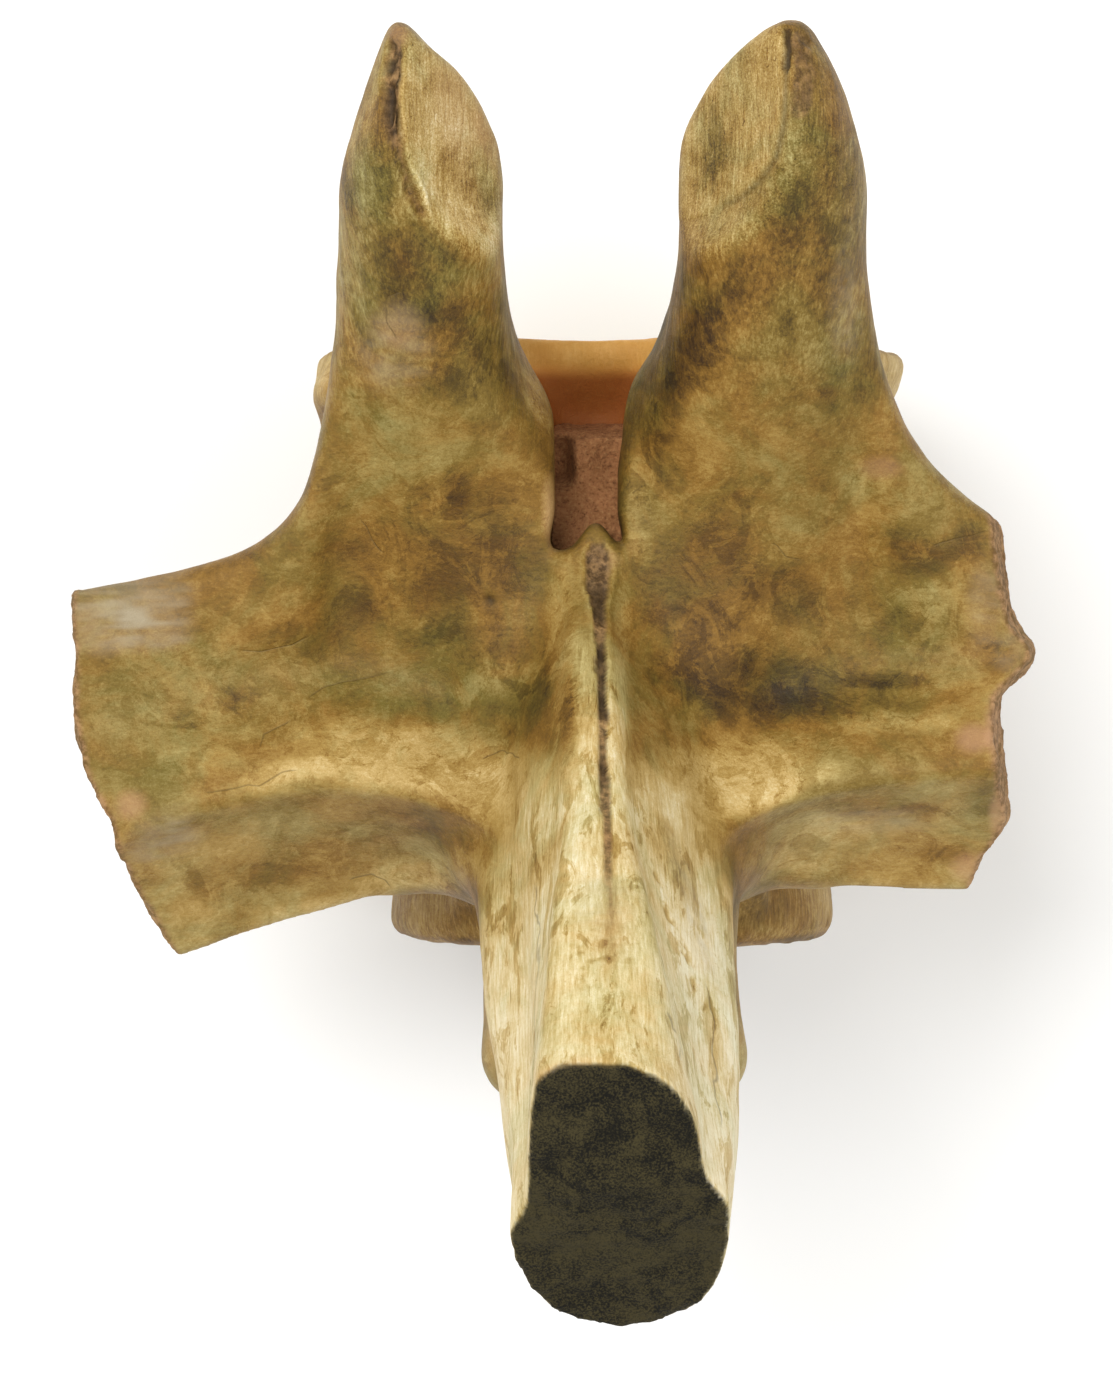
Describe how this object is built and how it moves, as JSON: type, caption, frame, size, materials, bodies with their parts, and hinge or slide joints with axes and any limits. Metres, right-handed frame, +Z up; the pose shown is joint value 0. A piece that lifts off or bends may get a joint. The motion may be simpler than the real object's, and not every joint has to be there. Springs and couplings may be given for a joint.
{
  "type": "fossil spinosaurus tail vertebra",
  "caption": "Life-size still model of a fossil spinosaurus tail vertebra, with long front prongs, broken side processes, a broken leaning spine and sandstone left in its canal.",
  "frame": {"origin": "centre of the bone's bounding box seen from above, on the floor it lies on", "axes": "+Y towards the front end, where the long prongs point, +Z up through the spine, +X towards the bone's right side"},
  "size_m": [0.1857, 0.2354, 0.2353],
  "materials": {
    "fossil_bone": "mineralised bone, satin, mottled cream, ochre and olive brown",
    "sandstone": "matt granular reddish brown sandstone"
  },
  "bodies": {
    "root": {"vertebra": "fossil_bone", "canal_matrix": "sandstone"}
  },
  "joints": []
}
